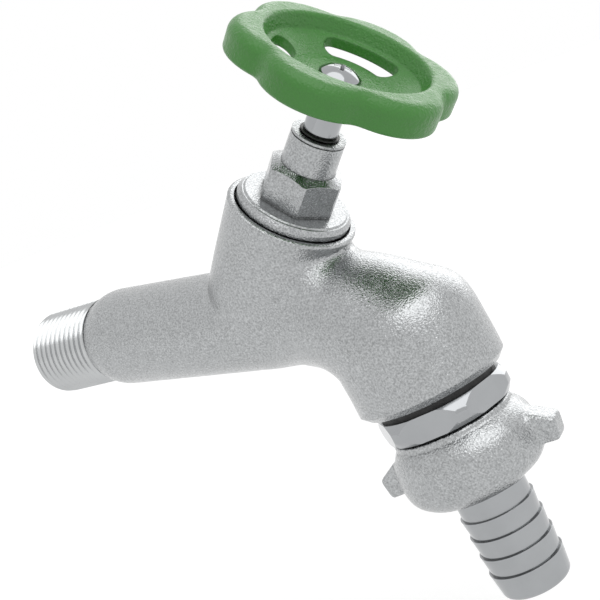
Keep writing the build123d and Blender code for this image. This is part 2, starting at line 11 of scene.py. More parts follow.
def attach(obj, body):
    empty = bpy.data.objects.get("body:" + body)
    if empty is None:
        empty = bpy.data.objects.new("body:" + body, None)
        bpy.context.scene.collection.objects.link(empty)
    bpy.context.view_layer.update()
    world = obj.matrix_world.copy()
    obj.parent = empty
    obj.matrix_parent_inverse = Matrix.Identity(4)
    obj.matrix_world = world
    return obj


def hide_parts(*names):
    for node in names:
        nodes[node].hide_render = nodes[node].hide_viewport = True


MM = 0.001

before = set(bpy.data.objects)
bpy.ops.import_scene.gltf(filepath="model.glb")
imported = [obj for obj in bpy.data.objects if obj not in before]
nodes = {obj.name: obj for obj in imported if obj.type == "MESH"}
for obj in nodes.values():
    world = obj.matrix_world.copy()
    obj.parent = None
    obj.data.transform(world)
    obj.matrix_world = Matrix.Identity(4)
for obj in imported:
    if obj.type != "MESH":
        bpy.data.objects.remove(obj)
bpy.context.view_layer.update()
scene = bpy.context.scene


# Camera at the photograph's viewing angle

CAMERA_PLACE = Vector((210.19, -173.96, 30.64)) * MM
CAMERA_AZIMUTH = radians(36.99)
CAMERA_ELEVATION = radians(8.68)
CAMERA_ROLL = radians(21.24)
CAMERA_LENS = 60.92
CAMERA_SENSOR = 36
CAMERA_NEAR = 0.01


def add_camera():
    """Camera turned about the upright, tipped down, then rolled about its own line of sight."""
    level_right = Vector((cos(CAMERA_AZIMUTH), sin(CAMERA_AZIMUTH), 0))
    back = Vector((
        sin(CAMERA_AZIMUTH) * cos(CAMERA_ELEVATION),
        -cos(CAMERA_AZIMUTH) * cos(CAMERA_ELEVATION),
        sin(CAMERA_ELEVATION),
    ))
    level_up = back.cross(level_right)
    right = cos(CAMERA_ROLL) * level_right - sin(CAMERA_ROLL) * level_up
    up = back.cross(right)
    data = bpy.data.cameras.new("camera")
    data.lens = CAMERA_LENS
    data.sensor_width = CAMERA_SENSOR
    data.clip_start = CAMERA_NEAR
    camera = bpy.data.objects.new("camera", data)
    scene.collection.objects.link(camera)
    camera.matrix_world = Matrix.Translation(CAMERA_PLACE) @ Matrix((right, up, back)).transposed().to_4x4()
    scene.camera = camera


# Axes and main sizes of the tap, in millimetres


def direction(angle):
    """Unit vector in the XZ plane, raised above +X by an angle in degrees."""
    return Vector((cos(radians(angle)), 0, sin(radians(angle))))


INLET_THREAD_LENGTH = 20.8
INLET_THREAD_D = 20.955
INLET_BORE_D = 14.0
PIPE_THREAD_PITCH = 1.814
TUBE_BEND = Vector((22.4, 0, 0))
TUBE_DROOP = 5.3
TUBE_D = 23.74
TUBE_RUN = 46.0
STEM_POINT = Vector((69.2, 0, 0))
STEM_ANGLE = 44.6
BOSS_HEIGHT = 23.7
OUTLET_POINT = Vector((99.0, 0, 0))
OUTLET_ANGLE = 81.0
SPOUT_MOUTH = 27.6
SPOUT_D = 33.1
SPOUT_STRAIGHT = 7.8

TUBE = direction(-TUBE_DROOP)
STEM = direction(STEM_ANGLE)
STEM_FRONT = direction(STEM_ANGLE - 90)
OUTLET = direction(-OUTLET_ANGLE)


# Ends of the skin: boss lip with its recess, and spout mouth

LIP_CUT = 22.7
LIP_ROUND = 0.8
LIP_TOP_RADIUS = 14.175
LIP_TAPER = 0.0728
LIP_ROUND_START = 10
RECESS_RADIUS = 12.7
RECESS_FLOOR = 22.2
RECESS_CHAMFER = 0.15
BONNET_BORE_RADIUS = 10.4
CHAMBER_FLOOR = 0.0
CHAMBER_ROOF = 12.5
CHAMBER_RADIUS = 9.6
MOUTH_CHAMFER = 1.3
MOUTH_CUT_BACK = 0.5
MOUTH_CUT = SPOUT_MOUTH - MOUTH_CHAMFER - MOUTH_CUT_BACK
MOUTH_EDGE_IN = 0.12
MOUTH_EDGE_BACK = 0.1
MOUTH_EDGE_DROP = 0.08
MOUTH_BORE_RADIUS = 10.53
MOUTH_BORE_END = 16.0
MOUTH_BORE_CHAMFER = 0.5
INLET_BORE_DEPTH = 30
END_PLANES = (
    (OUTLET_POINT + OUTLET * MOUTH_CUT, OUTLET),
    (Vector((INLET_THREAD_LENGTH, 0, 0)), Vector((-1, 0, 0))),
    (STEM_POINT + STEM * LIP_CUT, STEM),
)


# Cast skin of the body: tube, elbow and boss with soft blends

# Stations of the tube and elbow: centre x, centre z, diameter, angle below +X
ELBOW_STATIONS = (
    (83.9, -5.4, 25.7, 28.3),
    (94.4, -9.2, 29.9, 57.0),
    (100.5, -13.7, 33.0, 65.2),
)
STATION_COUNT = 220
TUBE_STATION_RUNS = (-6.0, 20.0, 36.0, TUBE_RUN)
SPOUT_OVERRUN = 3
BOSS_PROFILE = (
    (-16.0, -6.0), (-10.0, 8.2), (-4.0, 11.2), (2.0, 12.45), (8.0, 13.03), (BOSS_HEIGHT, LIP_TOP_RADIUS),
)
BLEND_BACK = 4.0
BLEND_FRONT = 15.0
BLEND_FADE = 8.0
BLEND_TURN = 6
BLEND_LEAST = 0.05
SHOULDER_FOOT = 10.43
SHOULDER_SLOPE = 0.45
SHOULDER_START = -1.6
SHOULDER_BLEND = 1.2
SNAP_ROUNDS = 4
SNAP_LIMIT = 1.5
SLOPE_STEP = 0.02
SLOPE_LEAST = 0.1
TINY_LENGTH = 1e-9
TINY_AREA = 1e-6

# Rough tube and boss that the skin starts from, and what is cut from its ends
ROUGH_SKIP = 8
ROUGH_STEPS = 48
ROUGH_BOSS = ((-10.5, 7.5), (0, 12.4), (BOSS_HEIGHT + 3, 14.2))
VOXEL = 0.9
CUT_SPARE = 1.2
LIP_ZONE_START = 19
LIP_ZONE_RADIUS = 15.0

# Mesh limits: how near a point is to lie on a plane or to be welded, and the angle of a sharp edge
ON_PLANE = 0.01
WELD = 1e-4
SMOOTH_BELOW = 35


def smooth_through(knots, values, places):
    """Cubic curve through the values, its slope at each knot taken from the neighbours."""
    slopes = np.gradient(values, knots)
    index = np.clip(np.searchsorted(knots, places) - 1, 0, len(knots) - 2)
    step = knots[index + 1] - knots[index]
    t = (places - knots[index]) / step
    start = (1 + 2 * t) * (1 - t) ** 2 * values[index] + t * (1 - t) ** 2 * step * slopes[index]
    end = t ** 2 * (3 - 2 * t) * values[index + 1] + t ** 2 * (t - 1) * step * slopes[index + 1]
    return start + end


def tube_stations():
    """Centre x, centre z, radius and angle of many cross sections from the inlet to the spout."""
    rows = [(*(TUBE_BEND + TUBE * run).xz, TUBE_D, TUBE_DROOP) for run in TUBE_STATION_RUNS]
    rows += ELBOW_STATIONS
    for run in (SPOUT_MOUTH - SPOUT_STRAIGHT, SPOUT_MOUTH, SPOUT_MOUTH + SPOUT_OVERRUN):
        rows.append((*(OUTLET_POINT + OUTLET * run).xz, SPOUT_D, OUTLET_ANGLE))
    rows = np.array(rows)
    knots = np.concatenate(([0], np.cumsum(np.hypot(*np.diff(rows[:, :2], axis=0).T))))
    places = np.linspace(0, knots[-1], STATION_COUNT)
    x, z, diameter, angle = (smooth_through(knots, column, places) for column in rows.T)
    return x, z, diameter / 2, np.radians(angle)


STATIONS = tube_stations()


def tube_distance(points):
    """Distance from the tube and elbow, with the offset in its section and the section's angle."""
    x, z, radius, angle = STATIONS
    ahead = (points[:, :1] - x) * np.cos(angle) - (points[:, 2:] - z) * np.sin(angle)
    index = np.clip(np.argmin(np.abs(ahead), axis=1), 1, STATION_COUNT - 2)
    rows = np.arange(len(points))
    before = ahead[rows, index]
    index = index + np.where(before > 0, 0, -1)
    first = ahead[rows, index]
    second = ahead[rows, index + 1]
    share = first / np.where(np.abs(first - second) < TINY_LENGTH, TINY_LENGTH, first - second)
    share = np.clip(share, 0, 1)
    mixed = [column[index] * (1 - share) + column[index + 1] * share for column in STATIONS]
    section_x, section_z, section_radius, section_angle = mixed
    from_x = (points[:, 0] - section_x) * np.sin(section_angle)
    from_z = (points[:, 2] - section_z) * np.cos(section_angle)
    offset = from_x + from_z
    reach = np.hypot(offset, points[:, 1])
    return reach - section_radius, offset, reach, section_angle


def rounding(one, other, width):
    """How far a soft blend of two distances lies beyond the nearer one."""
    near = np.maximum(width - np.abs(one - other), 0) / width
    return near ** 2 * width / 4


def skin_distance(points):
    """Distance from the cast skin, negative inside."""
    tube, offset, tube_reach, angle = tube_distance(points)
    from_stem = points - np.array(STEM_POINT)
    front = from_stem @ np.array(STEM_FRONT)
    height = from_stem @ np.array(STEM)
    heights, radii = zip(*BOSS_PROFILE)
    boss_reach = np.hypot(front, points[:, 1])
    boss = boss_reach - np.interp(height, heights, radii)
    facing = -np.cos(angle + radians(STEM_ANGLE)) * offset * front + points[:, 1] ** 2
    crossing = np.clip(1 - facing / np.maximum(tube_reach * boss_reach, TINY_AREA), 0, 1)
    forward = np.clip((front + BLEND_TURN) / (2 * BLEND_TURN), 0, 1)
    blend = BLEND_BACK + (BLEND_FRONT - BLEND_BACK) * forward
    blend = blend * crossing * np.clip((LIP_CUT - height) / BLEND_FADE, 0, 1) + BLEND_LEAST
    skin = np.minimum(tube, boss) - rounding(tube, boss, blend)
    from_bend = points - np.array(TUBE_BEND)
    run = from_bend @ np.array(TUBE)
    across = np.hypot(from_bend @ np.array(direction(90 - TUBE_DROOP)), points[:, 1])
    shoulder = across - (SHOULDER_FOOT + SHOULDER_SLOPE * (run - SHOULDER_START))
    return np.maximum(skin, shoulder) + rounding(skin, shoulder, SHOULDER_BLEND)


def onto_skin(points):
    """Points moved onto the cast skin along its slope."""
    for _ in range(SNAP_ROUNDS):
        here = skin_distance(points)
        slope = np.empty_like(points)
        for axis in range(3):
            step = np.zeros(3)
            step[axis] = SLOPE_STEP
            slope[:, axis] = (skin_distance(points + step) - here) / SLOPE_STEP
        steep = np.maximum((slope ** 2).sum(axis=1), SLOPE_LEAST)
        points = points - slope * np.clip(here / steep, -SNAP_LIMIT, SNAP_LIMIT)[:, None]
    return points


def add_rings(mesh, rings):
    """Closed tube through rings of points."""
    loops = [[mesh.verts.new(point) for point in ring] for ring in rings]
    count = len(loops[0])
    for low, high in zip(loops, loops[1:]):
        for n in range(count):
            mesh.faces.new((low[n], low[(n + 1) % count], high[(n + 1) % count], high[n]))
    mesh.faces.new(loops[0][::-1])
    mesh.faces.new(loops[-1])


def circle(centre, across, radius, count):
    """Points of a circle in the plane of a direction and Y."""
    side = Vector((0, 1, 0))
    turns = [2 * pi * n / count for n in range(count)]
    return [centre + radius * (cos(turn) * across + sin(turn) * side) for turn in turns]


def new_piece(name, mesh, material, smooth_below=SMOOTH_BELOW):
    """Object from a bmesh in millimetres, smooth but for its sharp edges."""
    bmesh.ops.scale(mesh, vec=(MM, MM, MM), verts=mesh.verts)
    bmesh.ops.recalc_face_normals(mesh, faces=mesh.faces)
    data = bpy.data.meshes.new(name)
    mesh.to_mesh(data)
    mesh.free()
    data.polygons.foreach_set("use_smooth", [True] * len(data.polygons))
    data.set_sharp_from_angle(angle=radians(smooth_below))
    data.materials.append(material)
    piece = bpy.data.objects.new(name, data)
    scene.collection.objects.link(piece)
    return piece


def applied_mesh(name, mesh, **settings):
    """Bmesh after one modifier, in millimetres."""
    data = bpy.data.meshes.new(name)
    mesh.to_mesh(data)
    mesh.free()
    piece = bpy.data.objects.new(name, data)
    scene.collection.objects.link(piece)
    kind = settings.pop("kind")
    modifier = piece.modifiers.new(kind, kind)
    for key, value in settings.items():
        setattr(modifier, key, value)
    done = piece.evaluated_get(bpy.context.evaluated_depsgraph_get()).to_mesh()
    result = bmesh.new()
    result.from_mesh(done)
    bpy.data.objects.remove(piece)
    bpy.data.meshes.remove(data)
    return result


def cast_skin():
    """Skin of tube, elbow and boss as even quads, open beyond its three ends."""
    rough = bmesh.new()
    columns = [tuple(map(float, column)) for column in zip(*STATIONS)][::ROUGH_SKIP]
    tube = []
    for x, z, radius, angle in columns:
        across = Vector((sin(angle), 0, cos(angle)))
        tube.append(circle(Vector((x, 0, z)), across, radius, ROUGH_STEPS))
    add_rings(rough, tube)
    boss = []
    for height, radius in ROUGH_BOSS:
        boss.append(circle(STEM_POINT + STEM * height, STEM_FRONT, radius, ROUGH_STEPS))
    add_rings(rough, boss)
    bmesh.ops.recalc_face_normals(rough, faces=rough.faces)
    skin = applied_mesh("rough", rough, kind="REMESH", mode="VOXEL", voxel_size=VOXEL)
    beyond = []
    for vert in skin.verts:
        past_ends = [(vert.co - place).dot(outward) > CUT_SPARE for place, outward in END_PLANES]
        past_mouth, past_inlet, past_lip = past_ends
        if past_mouth or past_inlet or (past_lip and near_stem(vert.co)):
            beyond.append(vert)
    bmesh.ops.delete(skin, geom=beyond, context="VERTS")
    points = onto_skin(np.array([vert.co[:] for vert in skin.verts]))
    for vert, point in zip(skin.verts, points):
        vert.co = point
    return skin


def near_stem(point):
    """Whether a point of the skin belongs to the boss and not to the elbow beside it."""
    arm = point - STEM_POINT
    height = arm.dot(STEM)
    return height > LIP_ZONE_START and (arm - height * STEM).length < LIP_ZONE_RADIUS


def cut_end(mesh, place, outward, part=None):
    """Boundary edges left when what lies beyond a plane is cut away."""
    faces = [face for face in mesh.faces if part is None or all(part(vert.co) for vert in face.verts)]
    edges = {edge for face in faces for edge in face.edges}
    verts = {vert for face in faces for vert in face.verts}
    geometry = [*verts, *edges, *faces]
    bmesh.ops.bisect_plane(
        mesh, geom=geometry, dist=WELD, plane_co=place, plane_no=outward, clear_outer=True,
    )
    open_edges = [edge for edge in mesh.edges if edge.is_boundary]
    return [edge for edge in open_edges if abs((edge.verts[0].co - place).dot(outward)) < ON_PLANE]


def turned_end(mesh, edges, axis_point, outward, across, profile):
    """Wall turned on from a boundary loop through (radius, height) points, with its last loop closed."""
    side = Vector((0, 1, 0))

    def place(turn, radius, height):
        return axis_point + outward * height + radius * (turn.x * across + turn.y * side)

    turns = {}
    for edge in edges:
        for vert in edge.verts:
            arm = vert.co - axis_point
            turns[vert] = Vector((arm.dot(across), arm.dot(side))).normalized()
    for vert, turn in turns.items():
        vert.co = place(turn, *profile[0])
    previous = {vert: vert for vert in turns}
    for radius, height in profile[1:]:
        ring = {}
        for vert, turn in turns.items():
            ring[vert] = mesh.verts.new(place(turn, radius, height))
        for edge in edges:
            first, second = edge.verts
            mesh.faces.new((previous[first], previous[second], ring[second], ring[first]))
        previous = ring
    pole = mesh.verts.new(axis_point + outward * profile[-1][1])
    for edge in edges:
        first, second = edge.verts
        mesh.faces.new((previous[first], previous[second], pole))


def rounded_corner(centre_radius, centre_height, radius, start, end, count=4):
    """Profile points of a round corner between two angles in degrees."""
    angles = [radians(start + (end - start) * n / count) for n in range(count + 1)]
    return [(centre_radius + radius * cos(angle), centre_height + radius * sin(angle)) for angle in angles]


def body_piece(material):
    """Cast body: its skin, with lip and recess, spout mouth and inlet bore turned on."""
    mesh = cast_skin()
    mouth_place, inlet_place, lip_place = END_PLANES
    side_edges = cut_end(mesh, *lip_place, near_stem)
    lip_radius = LIP_TOP_RADIUS - LIP_TAPER * (BOSS_HEIGHT - LIP_CUT)
    lip = [(lip_radius, LIP_CUT)]
    lip += rounded_corner(
        LIP_TOP_RADIUS - LIP_ROUND, BOSS_HEIGHT - LIP_ROUND, LIP_ROUND, LIP_ROUND_START, 90,
    )
    lip += [
        (RECESS_RADIUS + RECESS_CHAMFER, BOSS_HEIGHT),
        (RECESS_RADIUS, BOSS_HEIGHT - RECESS_CHAMFER),
        (RECESS_RADIUS, RECESS_FLOOR),
        (BONNET_BORE_RADIUS, RECESS_FLOOR),
        (BONNET_BORE_RADIUS, CHAMBER_ROOF),
        (CHAMBER_RADIUS, CHAMBER_ROOF),
        (CHAMBER_RADIUS, CHAMBER_FLOOR),
    ]
    turned_end(mesh, side_edges, STEM_POINT, STEM, STEM_FRONT, lip)
    mouth_edges = cut_end(mesh, *mouth_place)
    spout = SPOUT_D / 2
    mouth = [
        (spout, MOUTH_CUT),
        (spout, SPOUT_MOUTH - MOUTH_CHAMFER - MOUTH_EDGE_BACK),
        (spout - MOUTH_EDGE_IN, SPOUT_MOUTH - MOUTH_CHAMFER),
        (spout - MOUTH_CHAMFER, SPOUT_MOUTH - MOUTH_EDGE_DROP),
        (spout - MOUTH_CHAMFER - MOUTH_EDGE_IN, SPOUT_MOUTH),
        (MOUTH_BORE_RADIUS + MOUTH_BORE_CHAMFER, SPOUT_MOUTH),
        (MOUTH_BORE_RADIUS, SPOUT_MOUTH - MOUTH_BORE_CHAMFER),
        (MOUTH_BORE_RADIUS, MOUTH_BORE_END),
    ]
    turned_end(mesh, mouth_edges, OUTLET_POINT, OUTLET, direction(90 - OUTLET_ANGLE), mouth)
    inlet_edges = cut_end(mesh, *inlet_place)
    bore = INLET_BORE_D / 2
    inlet = [
        (SHOULDER_FOOT, -INLET_THREAD_LENGTH),
        (bore, -INLET_THREAD_LENGTH),
        (bore, -INLET_THREAD_LENGTH - INLET_BORE_DEPTH),
    ]
    turned_end(mesh, inlet_edges, Vector((0, 0, 0)), Vector((-1, 0, 0)), Vector((0, 0, 1)), inlet)
    return new_piece("tap_body", mesh, material)


# Pipe threads

THREAD_DEPTH = 1.162
THREAD_CREST = 0.16
THREAD_FLANK = 0.68
THREAD_RUNOUT = 0.9
THREAD_ROWS = 8
THREAD_SPARE_ROWS = 2
THREAD_STEPS = 96
AT_END = 1e-3
INLET_THREAD_CHAMFER = 1.3

# Union thread of the nipple, and the ring that cuts it
NIPPLE_END = 44.2
UNION_THREAD_D = 22.911
UNION_THREAD_LENGTH = 9.3
UNION_THREAD_SHORT = 0.4
CUTTER_START = -1
CUTTER_SPARE = 0.04
CUTTER_RADIUS = 13.0


def thread_depth(phase):
    """Depth of a rounded V thread below its crest, at a share of one pitch from the crest."""
    flank = abs((phase + 0.5) % 1 - 0.5) * 2
    return THREAD_DEPTH * min(max((flank - THREAD_CREST) / THREAD_FLANK, 0), 1)


def rim_edges(mesh, end):
    """Open edges of a thread at one of its ends."""
    open_edges = [edge for edge in mesh.edges if edge.is_boundary]
    return [edge for edge in open_edges if all(abs(vert.co.x - end) < AT_END for vert in edge.verts)]


def step_of(vert):
    """Number of the step round the thread's axis that a point lies on."""
    return round(atan2(vert.co.y, vert.co.z) / (2 * pi) * THREAD_STEPS) % THREAD_STEPS


def threaded_ring(diameter, start, length, chamfer, wall_radius):
    """Closed ring along +X with a helical thread on one side and a plain wall on the other."""
    mesh = bmesh.new()
    first_row = -THREAD_ROWS
    last_row = int((length - start) / PIPE_THREAD_PITCH * THREAD_ROWS) + THREAD_SPARE_ROWS
    loops = []
    for row in range(first_row, last_row):
        loop = []
        for n in range(THREAD_STEPS + 1):
            turn = 2 * pi * n / THREAD_STEPS
            along = start + (row / THREAD_ROWS + n / THREAD_STEPS) * PIPE_THREAD_PITCH
            place = min(max(along, start), length)
            fade = min(max((length - place) / THREAD_RUNOUT, 0), 1)
            radius = diameter / 2 - thread_depth(row / THREAD_ROWS) * fade
            if place < chamfer:
                radius = min(radius, diameter / 2 - chamfer + place)
            if place == start and not chamfer:
                radius = diameter / 2 - THREAD_DEPTH
            loop.append(mesh.verts.new((place, radius * sin(turn), radius * cos(turn))))
        loops.append(loop)
    for low, high in zip(loops, loops[1:]):
        for n in range(THREAD_STEPS):
            mesh.faces.new((low[n], high[n], high[n + 1], low[n + 1]))
    bmesh.ops.remove_doubles(mesh, verts=mesh.verts, dist=WELD)
    rims = [rim_edges(mesh, end) for end in (start, length)]
    turns = [2 * pi * n / THREAD_STEPS for n in range(THREAD_STEPS)]
    walls = []
    for end in (start, length):
        points = [(end, wall_radius * sin(turn), wall_radius * cos(turn)) for turn in turns]
        walls.append([mesh.verts.new(point) for point in points])
    for rim, wall in zip(rims, walls):
        for edge in rim:
            first, second = edge.verts
            mesh.faces.new((first, second, wall[step_of(second)], wall[step_of(first)]))
    for n in range(THREAD_STEPS):
        after = (n + 1) % THREAD_STEPS
        mesh.faces.new((walls[0][n], walls[0][after], walls[1][after], walls[1][n]))
    bmesh.ops.recalc_face_normals(mesh, faces=mesh.faces)
    return mesh


def inlet_thread_piece(material):
    """Inlet thread with its bore, where the solid has a plain cylinder."""
    mesh = threaded_ring(INLET_THREAD_D, 0, INLET_THREAD_LENGTH, INLET_THREAD_CHAMFER, INLET_BORE_D / 2)
    return new_piece("inlet_thread", mesh, material)


def cut_copy(name, node_name, cutter_mesh, material):
    """Copy of a CAD node with a shape in millimetres cut out of it."""
    cutter = new_piece(name + "_cutter", cutter_mesh, material)
    piece = bpy.data.objects.new(name, nodes[node_name].data.copy())
    piece.matrix_world = nodes[node_name].matrix_world.copy()
    scene.collection.objects.link(piece)
    modifier = piece.modifiers.new("cut", "BOOLEAN")
    modifier.operation = "DIFFERENCE"
    modifier.object = cutter
    modifier.solver = "EXACT"
    done = bpy.data.meshes.new_from_object(piece.evaluated_get(bpy.context.evaluated_depsgraph_get()))
    piece.modifiers.clear()
    piece.data = done
    bpy.data.objects.remove(cutter)
    done.materials.clear()
    done.materials.append(material)
    return piece


def nipple_piece(material):
    """Outlet nipple with its union thread cut in."""
    thread_end = UNION_THREAD_LENGTH - UNION_THREAD_SHORT
    mesh = threaded_ring(UNION_THREAD_D + CUTTER_SPARE, CUTTER_START, thread_end, 0, CUTTER_RADIUS)
    turn = Vector((1, 0, 0)).rotation_difference(-OUTLET).to_matrix().to_4x4()
    onto_nipple = Matrix.Translation(OUTLET_POINT + OUTLET * NIPPLE_END) @ turn
    bmesh.ops.transform(mesh, matrix=onto_nipple, verts=mesh.verts)
    return cut_copy("threaded_nipple", "outlet_nipple", mesh, material)


# Wing nut

NUT_VOXEL = 0.4
WING_BAND = 7.5
WING_START = 9.5
WING_FREE = 16.5
WING_DROP = 5.9
WING_TIP_DEPTH = 1.5
ROOT_ROUNDS = 70
EDGE_ROUNDS = 5
NUT_SMOOTH_BELOW = 50


def off_outlet(point):
    """Part of a point's place that lies across the outlet's axis."""
    away = point - OUTLET_POINT
    return away - OUTLET * away.dot(OUTLET)


def nut_piece(material):
    """Wing nut with the hollow roots and soft edges of a casting."""
    node = nodes["wing_nut"]
    mesh = bmesh.new()
    mesh.from_mesh(node.data)
    mesh.transform(Matrix.Scale(1 / MM, 4) @ node.matrix_world)
    drawn = BVHTree.FromBMesh(mesh)
    mesh = applied_mesh("rough_nut", mesh, kind="REMESH", mode="VOXEL", voxel_size=NUT_VOXEL)
    for vertex in mesh.verts:
        vertex.co = drawn.find_nearest(vertex.co)[0]
    tip = max(mesh.verts, key=lambda vertex: off_outlet(vertex.co).length).co.copy()
    wing_tip = off_outlet(tip).length - WING_TIP_DEPTH
    ends = [off_outlet(vertex.co) for vertex in mesh.verts if off_outlet(vertex.co).length > wing_tip]
    along = sum((end for end in ends if end.dot(off_outlet(tip)) > 0), Vector()).normalized()
    across = OUTLET.cross(along)
    top = (tip - OUTLET_POINT).dot(OUTLET) - WING_DROP
    wings = [
        vertex for vertex in mesh.verts
        if abs(off_outlet(vertex.co).dot(across)) < WING_BAND
        and off_outlet(vertex.co).length > WING_START and (vertex.co - OUTLET_POINT).dot(OUTLET) > top
    ]
    roots = [vertex for vertex in wings if off_outlet(vertex.co).length < WING_FREE]
    for rounds, verts in ((ROOT_ROUNDS, roots), (EDGE_ROUNDS, wings)):
        for _ in range(rounds):
            bmesh.ops.smooth_vert(
                mesh, verts=verts, factor=0.5, use_axis_x=True, use_axis_y=True, use_axis_z=True,
            )
    return new_piece("cast_wing_nut", mesh, material, NUT_SMOOTH_BELOW)


# Wheel screw and spindle clip

SCREW_TOP = 56.4
RECESS_LENGTH = 4.6
RECESS_WIDTH = 1.0
RECESS_DEPTH = 1.5
RECESS_TURN = 20
RECESS_NARROWING = 0.6
RECESS_OVER = 1
CLIP_BOTTOM = 41.8
CLIP_INNER = 3.15
CLIP_OUTER = 4.2
CLIP_THICKNESS = 0.4
CLIP_BEVEL = 0.1
CLIP_GAP_TURN = 114
CLIP_GAP = 50
CLIP_STEPS = 48


def screw_piece(material):
    """Wheel screw with a cross recess."""
    mesh = bmesh.new()
    arm = (
        (RECESS_WIDTH, -RECESS_WIDTH),
        (RECESS_LENGTH, -RECESS_WIDTH),
        (RECESS_LENGTH, RECESS_WIDTH),
    )
    outline = []
    for quarter in range(4):
        turn = radians(90 * quarter + RECESS_TURN)
        for along, across in arm:
            x = (along * cos(turn) - across * sin(turn)) / 2
            y = (along * sin(turn) + across * cos(turn)) / 2
            outline.append((x, y))
    side = Vector((0, 1, 0))
    rings = []
    for height, share in ((SCREW_TOP - RECESS_DEPTH, RECESS_NARROWING), (SCREW_TOP + RECESS_OVER, 1)):
        centre = STEM_POINT + STEM * height
        rings.append([centre + share * x * STEM_FRONT + share * y * side for x, y in outline])
    add_rings(mesh, rings)
    return cut_copy("recessed_screw", "wheel_screw", mesh, material)


def clip_piece(material):
    """Open spring clip, its gap on the far side."""
    mesh = bmesh.new()
    section = (
        (CLIP_INNER, 0),
        (CLIP_OUTER - CLIP_BEVEL, 0),
        (CLIP_OUTER, CLIP_BEVEL),
        (CLIP_OUTER, CLIP_THICKNESS - CLIP_BEVEL),
        (CLIP_OUTER - CLIP_BEVEL, CLIP_THICKNESS),
        (CLIP_INNER, CLIP_THICKNESS),
    )
    rings = []
    for n in range(CLIP_STEPS + 1):
        turn = radians(CLIP_GAP_TURN + CLIP_GAP / 2 + (360 - CLIP_GAP) * n / CLIP_STEPS)
        arm = cos(turn) * STEM_FRONT + sin(turn) * Vector((0, 1, 0))
        heights = [(radius, CLIP_BOTTOM + height) for radius, height in section]
        rings.append([STEM_POINT + arm * radius + STEM * height for radius, height in heights])
    add_rings(mesh, rings)
    return new_piece("clip_ring", mesh, material)


# Node materials

# Blender's noise lies mostly between these
NOISE_LOW = 0.3
NOISE_HIGH = 0.7
ROUGHNESS_SCALE = 400

# Rays that the painted shade of the inner corners and the rounded edges take at each point
PAINTED_SHADE_SAMPLES = 6
EDGE_SAMPLES = 4

# Ambient occlusion at which the shade painted into an inner corner is darkest, and at which a surface is
# fully open
PAINTED_SHADE_DARKEST = 0.35
PAINTED_SHADE_OPEN = 0.8

# Sockets of a Mix node that mixes colours
COLOUR_A = 6
COLOUR_B = 7
MIXED_COLOUR = 2


def new_material(name):
    """Empty material with its tree, output and shader."""
    material = bpy.data.materials.new(name)
    material.use_nodes = True
    tree = material.node_tree
    tree.nodes.clear()
    output = tree.nodes.new("ShaderNodeOutputMaterial")
    shader = tree.nodes.new("ShaderNodeBsdfPrincipled")
    tree.links.new(shader.outputs[0], output.inputs["Surface"])
    return material, tree, shader


def add_node(tree, kind, inputs=(), **settings):
    """Node with its settings, and its inputs linked to sockets or set to values."""
    node = tree.nodes.new(kind)
    for name, value in settings.items():
        setattr(node, name, value)
    for name, value in dict(inputs).items():
        if isinstance(value, bpy.types.NodeSocket):
            tree.links.new(value, node.inputs[name])
        else:
            node.inputs[name].default_value = value
    return node


def noise(tree, scale, detail=2.0):
    """Noise over the object's own coordinates."""
    place = add_node(tree, "ShaderNodeTexCoord")
    inputs = {"Vector": place.outputs["Object"], "Scale": scale, "Detail": detail}
    return add_node(tree, "ShaderNodeTexNoise", inputs).outputs[0]


def spread(tree, value, low, high):
    """Noise, which lies near a half, stretched over a range."""
    inputs = {"Value": value, "From Min": NOISE_LOW, "From Max": NOISE_HIGH, "To Min": low, "To Max": high}
    return add_node(tree, "ShaderNodeMapRange", inputs).outputs[0]


def finish_material(
    name, colour, metallic, roughness, grain, edge=0.0, painted_corner_shade=None, speck=120, change=0.04,
):
    """Material with noise in its roughness, colour and bump, rounded edges, and shade painted into its
    colour in inner corners.
    """
    material, tree, shader = new_material(name)
    shader.inputs["Metallic"].default_value = metallic
    patches = noise(tree, speck, 3)
    mix = add_node(tree, "ShaderNodeMix", data_type="RGBA")
    tree.links.new(spread(tree, patches, 0, 1), mix.inputs["Factor"])
    mix.inputs[COLOUR_A].default_value = (*[channel * (1 - change) for channel in colour], 1)
    mix.inputs[COLOUR_B].default_value = (*[channel * (1 + change) for channel in colour], 1)
    # Shade painted into the base colour: darker where ambient occlusion finds an inner corner, crease or
    # recess
    if painted_corner_shade:
        reach, depth = painted_corner_shade
        inputs = {"Distance": reach * MM}
        shade_occlusion = add_node(tree, "ShaderNodeAmbientOcclusion", inputs, samples=PAINTED_SHADE_SAMPLES)
        share = add_node(tree, "ShaderNodeMapRange", {
            "Value": shade_occlusion.outputs["AO"],
            "From Min": PAINTED_SHADE_DARKEST,
            "From Max": PAINTED_SHADE_OPEN,
            "To Min": 1 - depth,
            "To Max": 1.0,
        })
        painted_shade = add_node(tree, "ShaderNodeVectorMath", {0: mix.outputs[MIXED_COLOUR]}, operation="SCALE")
        tree.links.new(share.outputs[0], painted_shade.inputs["Scale"])
        tree.links.new(painted_shade.outputs[0], shader.inputs["Base Color"])
    else:
        tree.links.new(mix.outputs[MIXED_COLOUR], shader.inputs["Base Color"])
    tree.links.new(spread(tree, noise(tree, ROUGHNESS_SCALE, 2), *roughness), shader.inputs["Roughness"])
    normal = None
    if edge:
        normal = add_node(tree, "ShaderNodeBevel", {"Radius": edge * MM}, samples=EDGE_SAMPLES).outputs[0]
    for scale, depth, strength in grain:
        inputs = {"Height": noise(tree, scale, 1.5), "Distance": depth * MM, "Strength": strength}
        bump = add_node(tree, "ShaderNodeBump", inputs)
        if normal:
            tree.links.new(normal, bump.inputs["Normal"])
        normal = bump.outputs[0]
    tree.links.new(normal, shader.inputs["Normal"])
    return material
